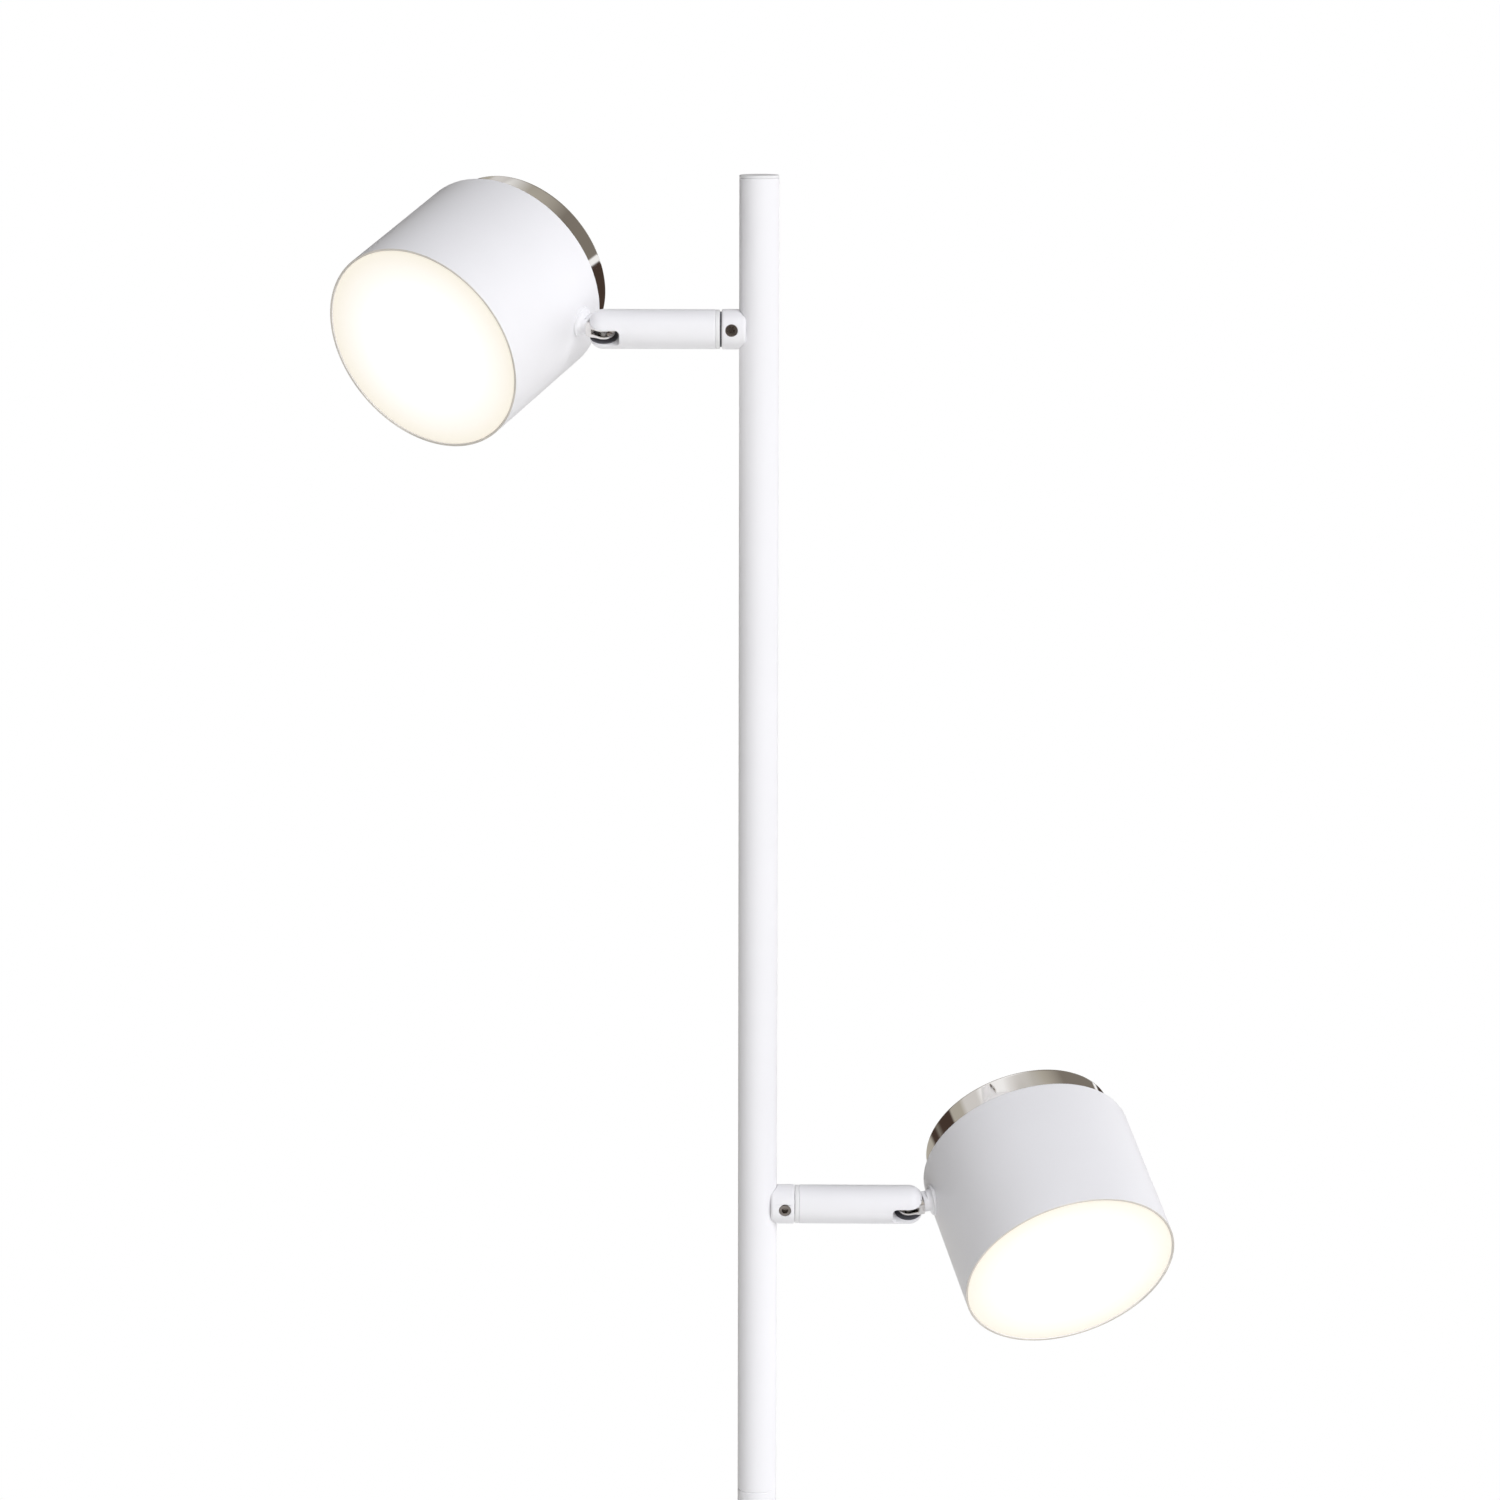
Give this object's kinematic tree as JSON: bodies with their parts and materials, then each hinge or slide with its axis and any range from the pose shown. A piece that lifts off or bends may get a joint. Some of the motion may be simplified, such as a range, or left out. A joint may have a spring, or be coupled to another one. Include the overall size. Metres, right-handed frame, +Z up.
{
  "type": "floor lamp with adjustable spots",
  "caption": "Slim pole floor lamp with a round weighted foot and adjustable drum spots on short swivel arms.",
  "frame": {"origin": "centre of the foot's underside, on the pole's axis", "axes": "+Z up along the pole, -Y towards the viewer whom the spots face, +X towards the lower spot"},
  "size_m": [0.344, 0.2421, 1.656],
  "materials": {
    "white_paint": "satin powder coat",
    "white_metal": "satin powder coat",
    "chrome": "polished chrome plate",
    "zinc_steel": "zinc plate",
    "cast_iron": "rough casting",
    "foam": "matt",
    "white_plastic": "satin",
    "dark_nylon": "matt",
    "aluminium": "bare",
    "board": "white solder mask",
    "led_chip": "phosphor",
    "opal": "frosted",
    "driver_case": "matt",
    "cable_sheath": "matt",
    "lead_sheath": "matt"
  },
  "bodies": {
    "stand": {"base_cover": "white_paint", "base_weight": "cast_iron", "base_pad": "foam", "base_nut": "zinc_steel", "cable_inlet": "white_plastic", "terminal_block": "white_plastic", "pole_lower": "white_paint", "pole_middle": "white_paint", "pole_upper": "white_paint", "pole_inserts": "zinc_steel", "pole_nipples": "zinc_steel", "pole_cap": "white_plastic", "set_screws": "zinc_steel", "stud_nuts": "zinc_steel", "swivel_shims": "dark_nylon", "spring_washers": "zinc_steel", "upper_coupler": "white_metal", "lower_coupler": "white_metal", "upper_stud": "zinc_steel", "lower_stud": "zinc_steel", "upper_cable": "cable_sheath", "lower_cable": "cable_sheath"},
    "upper_arm": {"upper_swivel_bush": "white_plastic", "upper_arm": "white_metal", "upper_arm_lead": "lead_sheath", "upper_tilt_screw": "zinc_steel", "upper_tilt_washers": "dark_nylon"},
    "upper_head": {"upper_tongue": "chrome", "upper_neck_flange": "white_metal", "upper_neck_nut": "zinc_steel", "upper_shell": "white_paint", "upper_rear_cover": "chrome", "upper_heat_sink": "aluminium", "upper_led_board": "board", "upper_leds": "led_chip", "upper_board_screws": "zinc_steel", "upper_reflector": "white_plastic", "upper_diffuser": "opal", "upper_driver": "driver_case", "upper_head_lead": "lead_sheath", "upper_board_lead": "lead_sheath"},
    "lower_arm": {"lower_swivel_bush": "white_plastic", "lower_arm": "white_metal", "lower_arm_lead": "lead_sheath", "lower_tilt_screw": "zinc_steel", "lower_tilt_washers": "dark_nylon"},
    "lower_head": {"lower_tongue": "chrome", "lower_neck_flange": "white_metal", "lower_neck_nut": "zinc_steel", "lower_shell": "white_paint", "lower_rear_cover": "chrome", "lower_heat_sink": "aluminium", "lower_led_board": "board", "lower_leds": "led_chip", "lower_board_screws": "zinc_steel", "lower_reflector": "white_plastic", "lower_diffuser": "opal", "lower_driver": "driver_case", "lower_head_lead": "lead_sheath", "lower_board_lead": "lead_sheath"}
  },
  "joints": [
    {"name": "upper_arm_swivel", "type": "hinge", "parent": "stand", "child": "upper_arm", "pos_m": [0, 0, 1.5942], "axis": [1, 0, 0], "range_deg": [-160, 160]},
    {"name": "upper_head_tilt", "type": "hinge", "parent": "upper_arm", "child": "upper_head", "pos_m": [-0.0624, 0, 1.5942], "axis": [0, 0.4695, -0.8829], "range_deg": [-115, 55]},
    {"name": "lower_arm_swivel", "type": "hinge", "parent": "stand", "child": "lower_arm", "pos_m": [0, 0, 1.2334], "axis": [1, 0, 0], "range_deg": [-160, 160]},
    {"name": "lower_head_tilt", "type": "hinge", "parent": "lower_arm", "child": "lower_head", "pos_m": [0.06225, 0, 1.2334], "axis": [0, -0.5075, 0.8616], "range_deg": [-100.2, 69.8]}
  ]
}
